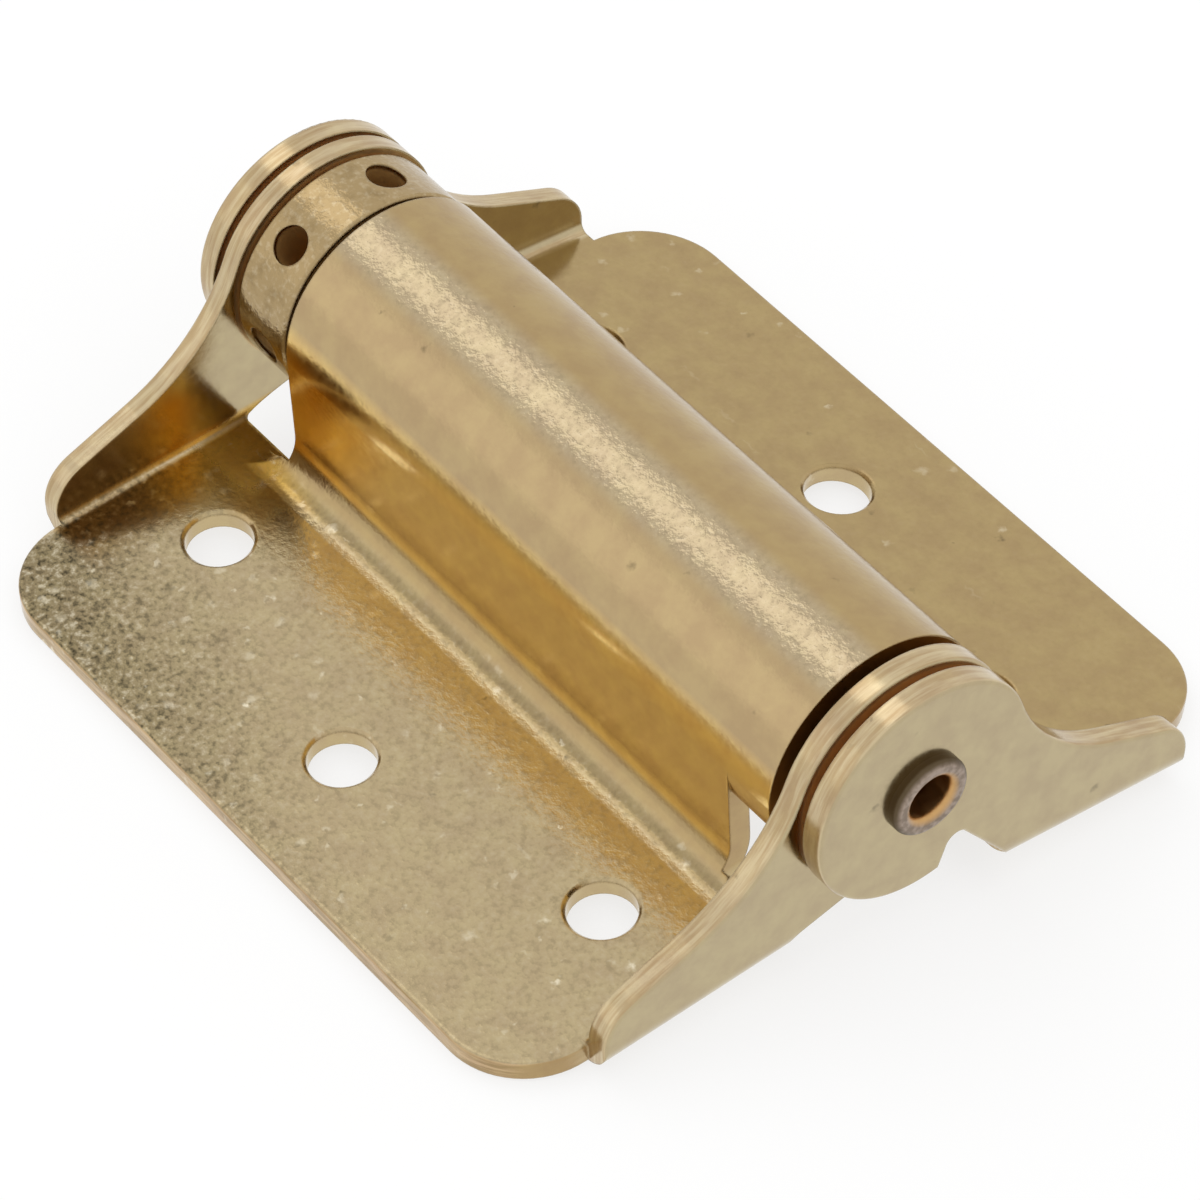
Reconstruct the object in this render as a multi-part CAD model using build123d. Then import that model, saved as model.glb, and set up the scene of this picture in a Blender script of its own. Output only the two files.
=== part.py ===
"""Adjustable self-closing spring hinge for a light screen door.

Two leaves of folded sheet steel turn on one hollow rivet. The barrel leaf has the inner
ears and a tongue that is rolled into a cover for the spring. The plain leaf has the outer
ears. A loose collar with radial holes winds the spring, one end of which sits in it.

X runs along the pin. The barrel leaf lies towards -Y and the plain leaf towards +Y. The
hinge stands on the free edges of its leaves, which hang a little below flat, so Z = 0 is
the surface under it, with the origin below the middle of the pin.
"""
import os
from math import atan2, cos, degrees, pi, radians, sin, tan

from build123d import *

# Sheet and leaves
sheet = 1.75                 # thickness of the steel
joint_length = 69.85         # over the outer faces of the plain leaf's ears
leaf_reach = 32.1            # from the pin's axis to a leaf's free edge
plain_width = 63.5           # of the plain leaf's plate, past its ears
barrel_width = 61.3          # of the barrel leaf's plate, past its ears
corner_radius = 6.5          # plate's free corners
pin_height = 12.4            # pin's axis over a plate's underside
ear_bend = 0.8               # inside radius of the bend into an ear
ear_gap = 0.62               # mean gap between an inner and an outer ear
side_play = 0.17             # how far the barrel leaf has slid towards -X in those gaps
droop = 8.7                  # how far the two leaves hang below flat, degrees

# Ears, seen along the pin
head_radius = 9.0            # round head about the pin
throat_radius = 15.5         # hollow between the head and the foot
foot_slope = 18.0            # fall of the foot's top edge, degrees
foot_end = 25.4              # the foot's end, from the pin's axis
foot_tip_radius = 3.5        # corner of the foot
plate_inner = 9.7            # where the plate starts, from the pin's axis
throat_side = 23.6           # where the head's arc meets the hollow, degrees over level
notch_rise = 46.0            # slope of the notch in an outer ear, degrees
notch_start = 0.8            # where that slope starts, over the plate's underside
notch_depth = 6.2            # how far the notch reaches in from the plate's edge
notch_radius = 0.9
chin = 86.0                  # where an inner ear's underside meets its head, degrees below level
chin_round = 1.3             # corner between its underside and the plate's inner edge

# Worn edges
edge_break = 0.3             # round the outer faces of the ears
rim_break = 0.25             # round the plates and the screw holes

# Screw holes
hole_diameter = 5.0
hole_spread = 22.1           # outer pair, each side of the leaf's middle
hole_row = 17.5              # that pair, from the pin's axis
hole_middle = 23.0           # third hole, from the pin's axis

# Barrel
barrel_radius = 8.9          # outside
barrel_gap = 1.1             # free gap between the barrel's near end and the ear
tab_length = 4.4             # how far the barrel goes on past its upright wall there
wall_bend = 2.9              # inside radius of the bend from plate to wall
relief_radius = 2.6          # corner of the cut-outs beside the wall
tab_drop = 15.0              # how far the barrel's end reaches below level, degrees
seam = 122.0                 # where the rolled edge ends, degrees below level

# Rivet
shank_radius = 2.9
rim_radius = 3.15
rim_length = 0.9             # how far each rolled end stands out
rim_round = 0.5
rivet_bore = 1.75
mouth_round = 0.6            # rounding of the bore's mouth
running_fit = 0.08           # radial clearance on the shank

# Collar
collar_width = 5.5
collar_radius = 8.7
collar_gap = 0.35            # free gap between it and the ear
cover_gap = 0.65             # free gap between it and the barrel
collar_hole = 1.5            # radius of a radial hole
collar_hole_depth = 4.4
collar_hole_count = 6
collar_hole_first = 69.0     # a hole's place about the pin, degrees over level
collar_edge = 0.2

# Spring
wire = 1.8
coil_radius = 5.6            # to the middle of the wire
coil_turns = 15
coil_gap = 0.4               # between the end coils and what they face
leg_reach = 8.8              # the near leg's tip, from the pin's axis
leg_angle = 134.0            # the near leg's place, degrees below level
tang_depth = 2.6             # how deep the far tang sits in the collar
tang_clearance = 0.15

# Worked out from the sizes above
outer_half = joint_length / 2
inner_half = outer_half - sheet - ear_gap
tilt = droop / 2
axis_height = ((pin_height - rim_break) * cos(radians(tilt))
               + (leaf_reach - rim_break) * sin(radians(tilt)) + rim_break)
ear_face = inner_half - sheet            # inner faces of the barrel leaf's ears
collar_far = collar_gap - ear_face
collar_near = collar_far + collar_width
barrel_far = collar_near + cover_gap     # the barrel's end beside the collar
barrel_near = ear_face - barrel_gap      # its other end
wall_near = barrel_near - tab_length
bend_start = barrel_radius + wall_bend   # where the wall's bend leaves the plate
underside = -pin_height      # of a plate, in a leaf's own frame
overshoot = 1.0              # how far a cutter runs past what it cuts


def polar(radius, angle):
    """Point at an angle over +Y, in the plane across the pin."""
    return Vector(radius * cos(radians(angle)), radius * sin(radians(angle)))


def across_point(x, radius, angle):
    """Point in space at a place along the pin and an angle about it."""
    return (x, radius * cos(radians(angle)), radius * sin(radians(angle)))


def across(sketch, start, end):
    """Prism of a sketch drawn in the plane across the pin, from X = start to X = end."""
    return extrude(Plane.YZ.offset(start) * sketch, end - start)


def ear_outline(notched):
    """Side of an ear and the plate below it, towards +Y of the pin."""
    centre = polar(head_radius + throat_radius, throat_side)
    throat_top = polar(head_radius, throat_side)
    throat_low = centre + polar(throat_radius, -90 - foot_slope)
    throat_mid = centre + polar(throat_radius, (throat_side + 180 + 270 - foot_slope) / 2)
    tip = Vector(foot_end, throat_low.Y - (foot_end - throat_low.X) * tan(radians(foot_slope)))
    foot_corner = Vector(foot_end, underside)
    plate_corner = Vector(plate_inner, underside)
    start = Vector(plate_inner, underside + notch_start)
    if notched:
        inner = start + notch_depth * Vector(-1, tan(radians(notch_rise)))
        meet_y = inner.X - notch_radius
        meet = Vector(meet_y, -(head_radius**2 - meet_y**2) ** 0.5)
        lower = Polyline(start, inner, meet)
    else:
        start = Vector(plate_inner, underside + sheet)
        meet = polar(head_radius, -chin)
        lower = Line(start, meet)
    meet_angle = degrees(atan2(meet.Y, meet.X)) + 360
    head = ThreePointArc(throat_top, polar(head_radius, (throat_side + meet_angle) / 2), meet)
    throat = ThreePointArc(throat_top, throat_mid, throat_low)
    foot = Polyline(throat_low, tip, foot_corner, plate_corner, start)
    face = make_face([*head.edges(), *throat.edges(), *foot.edges(), *lower.edges()])
    face = fillet(nearest(face, tip), foot_tip_radius)
    if notched:
        return fillet(nearest(face, inner), notch_radius)
    return fillet(nearest(face, start), chin_round)


def nearest(face, point):
    return face.vertices().sort_by_distance(point)[0]


def channel(half):
    """Plate with its two ears bent up, as one bent section run along Y."""
    height = pin_height + head_radius
    outer = Rectangle(2 * half, height, align=(Align.CENTER, Align.MIN))
    outer = fillet(outer.vertices().sort_by(Axis.Y)[:2], ear_bend + sheet)
    inner = Pos(0, sheet) * Rectangle(2 * (half - sheet), height, align=(Align.CENTER, Align.MIN))
    inner = fillet(inner.vertices().sort_by(Axis.Y)[:2], ear_bend)
    section = Plane.XZ * Pos(0, underside) * (outer - inner)
    return Pos(0, -head_radius, 0) * extrude(section, foot_end + head_radius, dir=(0, 1, 0))


def plate_end(width):
    """Flat end of a leaf past its ears, with two rounded corners and worn rims."""
    outline = Rectangle(width, 2 * leaf_reach)
    outline = fillet(outline.vertices().sort_by(Axis.Y)[-2:], corner_radius)
    slab = extrude(outline, sheet)
    slab = fillet(slab.edges().filter_by(Axis.Z, reverse=True), rim_break)
    kept = Box(width, leaf_reach, sheet, align=(Align.CENTER, Align.MIN, Align.MIN))
    return Pos(0, 0, underside) * (slab & (Pos(0, foot_end, 0) * kept))


def leaf(half, width, notched, pin_hole):
    """One leaf towards +Y of the pin, with its ears, before any screw hole."""
    block = across(ear_outline(notched), -half, half)
    block = fillet(block.faces().filter_by(Axis.X).edges(), edge_break)
    body = (channel(half) & block) + plate_end(width)
    return body - across(Circle(pin_hole), -half - overshoot, half + overshoot)


def screw_holes():
    """Cutters for the three holes of a leaf towards +Y."""
    places = [(-hole_spread, hole_row), (hole_spread, hole_row), (0, hole_middle)]
    radius = hole_diameter / 2
    rim = Pos(0, 0, (sheet - rim_break) / 2) * Cone(radius, radius + rim_break, rim_break)
    drill = Cylinder(radius, sheet) + rim + mirror(rim, about=Plane.XY)
    return [Pos(x, y, underside + sheet / 2) * drill for x, y in places]


def wall_section():
    """Bend from the plate and the upright wall, towards -Y of the pin."""
    turn = wall_bend + sheet
    centre = Pos(-bend_start, underside + turn)
    quarter = Pos(-bend_start, underside) * Rectangle(turn, turn, align=Align.MIN)
    bend = (centre * (Circle(turn) - Circle(wall_bend))) & quarter
    wall = Pos(-barrel_radius, underside + turn) * Rectangle(sheet, -underside - turn, align=Align.MIN)
    return bend + wall


def ring_sector(first, last):
    """Part of the barrel's section between two angles, turning anticlockwise."""
    inside = barrel_radius - sheet
    middle = (first + last) / 2
    outer = ThreePointArc(*(polar(barrel_radius, a) for a in (first, middle, last)))
    inner = ThreePointArc(*(polar(inside, a) for a in (first, middle, last)))
    ends = [Line(polar(inside, a), polar(barrel_radius, a)) for a in (first, last)]
    return make_face([*outer.edges(), *inner.edges(), *ends[0].edges(), *ends[1].edges()])


def relief(length):
    """Cutter for the gap between the wall's end and an ear, with a rounded low corner.

    It goes through the sheet up to the plate's inner edge, and past that edge it only
    takes what stands above the plate.
    """
    block = Rectangle(length, pin_height + overshoot, align=Align.MIN)
    block = fillet(nearest(block, (0, 0)), relief_radius)
    through = extrude(Plane.XZ * block, plate_inner, dir=(0, -1, 0))
    above = extrude(Plane.XZ * block, bend_start + overshoot, dir=(0, -1, 0))
    return Pos(0, 0, underside) * (through + Pos(0, 0, sheet) * above)


def barrel_leaf():
    """Leaf towards -Y: inner ears, plate, upright wall and the rolled spring cover."""
    body = mirror(leaf(inner_half, barrel_width, False, shank_radius + running_fit),
                  about=Plane.XZ)
    window = Box(wall_near - barrel_far, bend_start, sheet,
                 align=(Align.MIN, Align.MAX, Align.MIN))
    body -= Pos(barrel_far, 0, underside) * window
    wall = across(wall_section(), -ear_face, ear_face)
    wall -= Pos(wall_near, 0, 0) * relief(ear_face - wall_near)
    wall -= Pos(barrel_far, 0, 0) * mirror(relief(ear_face + barrel_far), about=Plane.YZ)
    cover = across(ring_sector(-seam, 180), barrel_far, barrel_near)
    tab = across(ring_sector(180, 180 + tab_drop), wall_near, barrel_near)
    body = body + wall + cover + tab
    for cutter in screw_holes():
        body -= mirror(cutter, about=Plane.XZ)
    return body


def plain_leaf():
    """Leaf towards +Y: outer ears and plate."""
    body = leaf(outer_half, plain_width, True, shank_radius)
    for cutter in screw_holes():
        body -= cutter
    return body


def rivet_pin():
    """Hollow rivet through the four ears, its ends rolled over the outer pair."""
    end = outer_half + rim_length
    shank = Rectangle(2 * outer_half, shank_radius, align=(Align.CENTER, Align.MIN))
    half_section = shank
    for side in (-1, 1):
        middle = side * (outer_half + rim_length / 2)
        rim = Pos(middle, 0) * Rectangle(rim_length, rim_radius, align=(Align.CENTER, Align.MIN))
        half_section += rim
    half_section -= Rectangle(2 * end, rivet_bore, align=(Align.CENTER, Align.MIN))
    for side in (-1, 1):
        half_section = fillet(nearest(half_section, (side * end, rim_radius)), rim_round)
        half_section = fillet(nearest(half_section, (side * end, rivet_bore)), mouth_round)
    return revolve(half_section, Axis.X)


def adjusting_collar():
    """Loose ring on the rivet, with radial holes and a socket for the spring's tang."""
    body = across(Circle(collar_radius), collar_far, collar_near)
    rims = body.edges().filter_by(GeomType.CIRCLE)
    body = chamfer(rims, collar_edge)
    body -= across(Circle(shank_radius + running_fit), collar_far - overshoot,
                   collar_near + overshoot)
    middle = (collar_far + collar_near) / 2
    for step in range(collar_hole_count):
        angle = collar_hole_first + step * 360 / collar_hole_count
        drill = Cylinder(collar_hole, collar_hole_depth + overshoot,
                         align=(Align.CENTER, Align.CENTER, Align.MIN))
        drill = Pos(0, 0, collar_radius - collar_hole_depth) * drill
        body -= Pos(middle, 0, 0) * Rot(X=angle - 90) * drill
    socket = Pos(*polar(coil_radius, tang_angle())) * Circle(wire / 2 + tang_clearance)
    bottom = collar_near - tang_depth - tang_clearance
    return body - across(socket, bottom, collar_near + overshoot)


def tang_angle():
    """Place of the spring's tang, midway between two radial holes."""
    return collar_hole_first + 180 / collar_hole_count


def torsion_spring():
    """Coil round the rivet, with a tang in the collar and a leg in the barrel's seam."""
    start = collar_near + coil_gap + wire / 2
    end = barrel_near - coil_gap - wire / 2
    turns = coil_turns + (-leg_angle - tang_angle()) % 360 / 360
    pitch = (end - start) / turns
    slope = Vector(0, 2 * pi * coil_radius, pitch)
    section = Plane(origin=(coil_radius, 0, 0), x_dir=(1, 0, 0), z_dir=slope) * Circle(wire / 2)
    coil = sweep(section, path=Helix(pitch, end - start, coil_radius))
    coil = Pos(start, 0, 0) * Rot(X=tang_angle() + 90) * Rot(Y=90) * coil
    tang_seat = Pos(*across_point(start, coil_radius, tang_angle()))
    tang = tang_seat * Rot(Y=-90) * Cylinder(
        wire / 2, start - collar_near + tang_depth, align=(Align.CENTER, Align.CENTER, Align.MIN))
    leg_seat = Pos(*across_point(end, coil_radius, -leg_angle)) * Rot(X=-leg_angle - 90)
    leg = leg_seat * Cylinder(
        wire / 2, leg_reach - coil_radius, align=(Align.CENTER, Align.CENTER, Align.MIN))
    knuckle = Sphere(wire / 2)
    return coil + tang + tang_seat * knuckle + leg + leg_seat * knuckle


def place(shape, turn=0.0, slide=0.0):
    """Turn a piece about the pin, slide it along and lift it to the pin's height."""
    return Pos(slide, 0, axis_height) * Rot(X=turn) * shape


os.makedirs("parts", exist_ok=True)
export_step(place(barrel_leaf(), tilt, -side_play), "parts/barrel_leaf.step")
export_step(place(plain_leaf(), -tilt), "parts/plain_leaf.step")
export_step(place(rivet_pin()), "parts/rivet_pin.step")
export_step(place(adjusting_collar(), tilt, -side_play), "parts/adjusting_collar.step")
export_step(place(torsion_spring(), tilt, -side_play), "parts/torsion_spring.step")
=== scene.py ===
"""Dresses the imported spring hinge: finishes, coil spring, studio and camera.

Lengths in the sizes are millimetres, as on the part's drawing. Everything that goes to
Blender is in metres, in the part's own frame: X along the pin, the barrel leaf towards -Y,
the plain leaf towards +Y and the surface that it stands on at Z = 0.
"""
import logging
import math
from dataclasses import dataclass
from enum import Enum
from typing import Iterable, Mapping

import bpy
from bpy.types import ID, Material, Node, NodeSocket, NodeTree, Object, bpy_prop_collection
from mathutils import Matrix, Vector


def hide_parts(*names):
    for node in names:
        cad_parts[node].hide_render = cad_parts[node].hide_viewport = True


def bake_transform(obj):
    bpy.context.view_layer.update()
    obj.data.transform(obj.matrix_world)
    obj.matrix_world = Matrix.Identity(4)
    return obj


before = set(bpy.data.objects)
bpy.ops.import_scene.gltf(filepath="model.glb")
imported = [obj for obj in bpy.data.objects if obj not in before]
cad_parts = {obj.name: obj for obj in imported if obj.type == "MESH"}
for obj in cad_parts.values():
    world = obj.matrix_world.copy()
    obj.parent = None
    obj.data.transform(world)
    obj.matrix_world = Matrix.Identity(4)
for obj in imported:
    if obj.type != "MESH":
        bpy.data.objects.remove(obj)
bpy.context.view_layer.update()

Regions = Mapping[str, Node | float]
LOG = logging.getLogger("spring_hinge")
MM = 0.001
# Painted glint colour, for grains and spots in the plating that shine, also used for the light
# scratches; and the colour of the grains and pits that stay dark.
GLINT_AND_SCRATCH_TONE = "#F6ECD2"
DARK_GRAIN = "#3E3828"
# Which output a node stands for, where it isn't its first: a mix gives its colour.
MAIN_OUTPUT = {"ShaderNodeMix": 2}


class Body(Enum):
    """The bodies of the mechanism that the spring's ends ride on."""

    BARREL_SIDE = "barrel_side"
    COLLAR = "collar"


class Slot(Enum):
    """The record's material slots."""

    LEAF = "plated_leaf"
    COLLAR = "plated_collar"
    RIVET = "dull_rivet"
    WIRE = "spring_wire"


class Measure(Enum):
    """What a leaf's regions are told apart by, in millimetres in the leaf's own frame."""

    ALONG = "place along the pin"
    ACROSS = "place across the pin, below 0 on the barrel leaf"
    HEIGHT = "height over the pin's axis"
    ALONG_SIZE = "distance from the leaf's middle"
    ACROSS_SIZE = "distance across from the pin"
    INLAND = "the larger of those two distances"
    FROM_PIN = "distance from the pin's axis"
    FROM_BEND = "distance from the line where the plate begins to bend up"
    # The slant points to the far outer corner, where the plate's colour is darker.
    SLANT = "distance towards the worn corner, with a slow drift"
    UPRIGHT = "how much the surface faces up or down, from 0 to 1"
    SIDEWAYS = "how much the surface faces along the pin, from 0 to 1"


class Join(Enum):
    """How shares are joined into one."""

    ALL = "MULTIPLY"
    REST = "SUBTRACT"
    EITHER = "MAXIMUM"


def linear(code: str) -> tuple[float, float, float, float]:
    """Turns an sRGB colour code into a linear colour.

    Args:
        code: The colour as "#RRGGBB".

    Returns:
        Red, green, blue and an alpha of 1.
    """
    parts = [int(code[i:i + 2], 16) / 255 for i in (1, 3, 5)]
    red, green, blue = ((c / 12.92 if c <= 0.04045 else ((c + 0.055) / 1.055) ** 2.4) for c in parts)
    return (red, green, blue, 1.0)


def plug(tree: NodeTree, node: Node, inputs: Mapping[object, object]) -> None:
    """Sets and links a node's inputs.

    Args:
        tree: The node's tree.
        node: The node.
        inputs: A value, a colour code, a socket or a node for each input, by name or place.
    """
    for name, value in inputs.items():
        if isinstance(value, str):
            value = linear(value)
        if isinstance(value, Node):
            value = value.outputs[MAIN_OUTPUT.get(value.bl_idname, 0)]
        if isinstance(value, NodeSocket):
            tree.links.new(value, node.inputs[name])
        else:
            node.inputs[name].default_value = value


def add_node(tree: NodeTree, kind: str, inputs: Mapping[object, object] | None = None,
             **settings: object) -> Node:
    """Adds a node with its settings and links.

    Args:
        tree: The tree that gets the node.
        kind: Blender's name for the kind of node.
        inputs: What is plugged into it.
        settings: The node's own settings, by name.

    Returns:
        The new node.
    """
    node = tree.nodes.new(kind)
    for name, value in settings.items():
        setattr(node, name, value)
    plug(tree, node, inputs or {})
    return node


def layered(tree: NodeTree, colour: object, layers: Iterable[tuple[object, object]]) -> Node:
    """Lays colours over one another.

    Args:
        tree: The material's tree.
        colour: The lowest colour.
        layers: Share and colour of each one over it, from the lowest.

    Returns:
        The colour that shows.
    """
    for share, tone in layers:
        colour = add_node(tree, "ShaderNodeMix", {0: share, 6: colour, 7: tone}, data_type="RGBA")
    return colour


def add_object(name: str, data: ID) -> Object:
    """Adds an object to the scene.

    Args:
        name: The object's name.
        data: Its mesh, lamp or camera.

    Returns:
        The object.
    """
    added = bpy.data.objects.new(name, data)
    bpy.context.scene.collection.objects.link(added)
    return added


@dataclass(frozen=True)
class Sizes:
    """The sizes that the looks share with the part's solids, in millimetres.

    Attributes:
        pin_z: Height of the pin's axis over the surface.
        tilt: How far each leaf hangs below flat, in degrees.
        pin_height: The pin's axis over a plate's underside.
        sheet: Thickness of the steel.
        barrel_radius: Outside of the rolled cover.
    """

    pin_z: float = 14.7808
    tilt: float = 4.35
    pin_height: float = 12.4
    sheet: float = 1.75
    barrel_radius: float = 8.9


SIZES = Sizes()


@dataclass(frozen=True)
class Finish:
    """What every finish has.

    Attributes:
        name: The material's name.
    """

    name: str

    def start(self) -> tuple[Material, NodeTree, Node]:
        """Makes an empty material.

        Returns:
            The material, its tree and its shader node.
        """
        material = bpy.data.materials.new(self.name)
        material.use_nodes = True
        tree = material.node_tree
        return material, tree, tree.nodes["Principled BSDF"]

    def place(self, tree: NodeTree, height: float = SIZES.pin_z, tilt: float = 0.0) -> Node:
        """Gives the place on the piece, in millimetres.

        Args:
            tree: The material's tree.
            height: Height of the place's origin over the surface.
            tilt: How far the piece is turned about the pin, in degrees.

        Returns:
            The place from that origin, with the piece turned back to flat.
        """
        own = add_node(tree, "ShaderNodeTexCoord")
        turn = Matrix.Rotation(math.radians(-tilt), 3, "X")
        return add_node(tree, "ShaderNodeMapping", {
            "Vector": own.outputs["Object"], "Location": turn @ Vector((0.0, 0.0, -height)),
            "Rotation": (math.radians(-tilt), 0.0, 0.0), "Scale": (1 / MM,) * 3})

    def from_pin(self, tree: NodeTree, spot: Node) -> NodeSocket:
        """Gives the distance from the pin's axis.

        Args:
            tree: The material's tree.
            spot: The place from the pin.

        Returns:
            The distance, in millimetres.
        """
        axes = add_node(tree, "ShaderNodeSeparateXYZ", {0: spot})
        flat = add_node(tree, "ShaderNodeCombineXYZ", {1: axes.outputs["Y"], 2: axes.outputs["Z"]})
        return add_node(tree, "ShaderNodeVectorMath", {0: flat}, operation="LENGTH").outputs["Value"]


@dataclass(frozen=True)
class Plating(Finish):
    """Satin brass plating on steel, over edges that tumbling has rounded."""

    def relief(self, tree: NodeTree, height: Node, rise: float) -> Node:
        """Gives the plating its relief.

        Args:
            tree: The material's tree.
            height: The relief's height, from 0 to 1.
            rise: What a height of 1 is, in millimetres.

        Returns:
            The surface's direction.
        """
        edge_round = 0.25
        edge = add_node(tree, "ShaderNodeBevel", {"Radius": edge_round * MM}, samples=4)
        return add_node(tree, "ShaderNodeBump", {
            "Strength": 1.0, "Distance": rise * MM, "Height": height, "Normal": edge})


@dataclass(frozen=True)
class Marks:
    """Painted glints, short scratches and dark pits in the plating.

    Attributes:
        glint_share: Share of the places for a painted glint that have one, at the far end.
        strength: How bright the brightest painted glint is.
        glint_pitch: Distance between the places for a painted glint, in millimetres.
        pit_pitch: Distance between the places for a pit, in millimetres.
        shake_size: Size of the shake that makes the marks uneven, in millimetres.
        shake: How far it moves them, in millimetres.
        scratch_angle: The scratches' turn from the pin's direction, in degrees.
        scratch_share: Share of the places for a scratch that have one.
    """

    glint_share: float
    strength: float
    glint_pitch: float = 1.15
    pit_pitch: float = 4.0
    shake_size: float = 0.5
    shake: float = 0.95
    scratch_angle: float = -35.0
    scratch_share: float = 0.3

    def painted_glints(self, tree: NodeTree, spot: Node, shaken: Node) -> Node:
        """Spreads the painted glints, light spots that stand for grains mirroring a lamp, fewer
        towards the near end.

        Args:
            tree: The material's tree.
            spot: The place in the leaf's frame.
            shaken: The same place, shaken.

        Returns:
            How much of a painted glint there is.
        """
        cells = add_node(tree, "ShaderNodeTexVoronoi", {
            "Vector": shaken, "Scale": 1 / self.glint_pitch})
        chance = add_node(tree, "ShaderNodeSeparateColor", {0: cells.outputs["Color"]})
        axes = add_node(tree, "ShaderNodeSeparateXYZ", {0: spot})
        fewest_at, most_at, fewest = 24.0, -4.0, 0.3
        share = add_node(tree, "ShaderNodeMapRange", {
            "Value": axes, "From Min": fewest_at, "From Max": most_at,
            "To Min": self.glint_share * fewest, "To Max": self.glint_share})
        chosen = add_node(tree, "ShaderNodeMath", {0: chance, 1: share}, operation="LESS_THAN")
        reach = add_node(tree, "ShaderNodeMapRange", {
            "Value": chance.outputs[1], "To Min": 0.2, "To Max": 0.58})
        strength = add_node(tree, "ShaderNodeMapRange", {
            "Value": chance.outputs[2], "To Min": 0.2, "To Max": self.strength})
        glint_spot = add_node(tree, "ShaderNodeMapRange", {
            "Value": cells, "From Min": reach, "From Max": 0.05, "To Max": strength},
            interpolation_type="SMOOTHSTEP")
        return add_node(tree, "ShaderNodeMath", {0: glint_spot, 1: chosen}, operation="MULTIPLY")

    def scratches(self, tree: NodeTree, shaken: Node) -> Node:
        """Draws the scratches, each a long thin cell of a turned and stretched pattern.

        Args:
            tree: The material's tree.
            shaken: The shaken place.

        Returns:
            How much of a scratch there is.
        """
        cells = add_node(tree, "ShaderNodeMapping", {
            "Vector": shaken, "Rotation": (0.0, 0.0, math.radians(self.scratch_angle)),
            "Scale": (0.12, 0.9, 0.5)})
        cells = add_node(tree, "ShaderNodeTexVoronoi", {"Vector": cells, "Scale": 1.0})
        chance = add_node(tree, "ShaderNodeSeparateColor", {0: cells.outputs["Color"]})
        chosen = add_node(tree, "ShaderNodeMath", {0: chance, 1: self.scratch_share},
                          operation="LESS_THAN")
        faintness = 0.18
        scratch = add_node(tree, "ShaderNodeMapRange", {
            "Value": cells, "From Min": 0.14, "From Max": 0.08,
            "To Max": self.strength * faintness})
        return add_node(tree, "ShaderNodeMath", {0: scratch, 1: chosen}, operation="MULTIPLY")

    def add(self, tree: NodeTree, spot: Node, region: Regions, colour: Node) -> Node:
        """Adds the marks to a colour.

        Args:
            tree: The material's tree.
            spot: The place in the leaf's frame.
            region: The regions' shares.
            colour: The colour without marks.

        Returns:
            The marked colour.
        """
        shaken = add_node(tree, "ShaderNodeTexNoise", {"Vector": spot, "Scale": 1 / self.shake_size})
        shaken = add_node(tree, "ShaderNodeVectorMath", {
            0: shaken.outputs["Color"], 1: (self.shake,) * 3, 2: spot}, operation="MULTIPLY_ADD")
        mark = add_node(tree, "ShaderNodeMath", {
            0: self.painted_glints(tree, spot, shaken), 1: self.scratches(tree, shaken)},
            operation="MAXIMUM")
        for name in ("plate", "between"):
            mark = add_node(tree, "ShaderNodeMath", {0: mark, 1: region[name]},
                            operation="MULTIPLY")
        pits = add_node(tree, "ShaderNodeTexVoronoi", {
            "Vector": shaken, "Scale": 1 / self.pit_pitch})
        chance = add_node(tree, "ShaderNodeSeparateColor", {0: pits.outputs["Color"]})
        widest, darkest = 0.13, 0.55
        reach = add_node(tree, "ShaderNodeMath", {0: chance, 1: widest}, operation="MULTIPLY")
        pit = add_node(tree, "ShaderNodeMapRange", {
            "Value": pits, "From Min": reach, "From Max": 0.0, "To Max": darkest})
        return layered(tree, colour, ((mark, GLINT_AND_SCRATCH_TONE), (pit, DARK_GRAIN)))


# Regions that are joined from others, in the order in which they need each other.
JOINED = (
    ("between", Join.REST, ("whole", "ear")),
    ("darker_plate", Join.ALL, ("darker", "plate")),
    ("wall", Join.ALL, ("low", "over_bend", "between", "sheltered")),
    ("belly", Join.ALL, ("front_side", "rolled")),
    ("crown", Join.ALL, ("top", "front", "between")),
    ("ear_head", Join.ALL, ("by_head", "ear")),
    ("off_head", Join.REST, ("whole", "ear_head")),
    ("by_ear", Join.ALL, ("far", "inside", "foot", "foot_end", "off_head")),
    ("by_bend", Join.ALL, ("far_wall", "by_wall", "plate", "inside")),
    ("corner", Join.EITHER, ("by_ear", "by_bend")),
    ("edge", Join.ALL, ("steep", "plate")),
    ("face", Join.REST, ("whole", "edge")),
    ("grainy", Join.ALL, ("grain_end", "plate", "face")),
    ("rim", Join.ALL, ("edge", "between")),
    ("hole", Join.ALL, ("inland", "rim")),
    ("relief", Join.ALL, ("by_relief", "far_end", "plate", "inside")),
    ("bend", Join.ALL, ("bend_line", "plate")),
    ("end", Join.ALL, ("end_on", "between")),
    ("cut", Join.ALL, ("edge_on", "ear")),
    ("gap", Join.ALL, ("in_barrel", "in_ears", "ear")),
)
# Regions that begin and end sharply.
SHARP_REGIONS = ("low", "grain_end", "in_ears", "in_barrel", "inland", "darker")
# Regions that only the leaf with the barrel has.
BARREL_REGIONS = ("belly", "wall", "bend", "crown", "corner", "relief")


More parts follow.
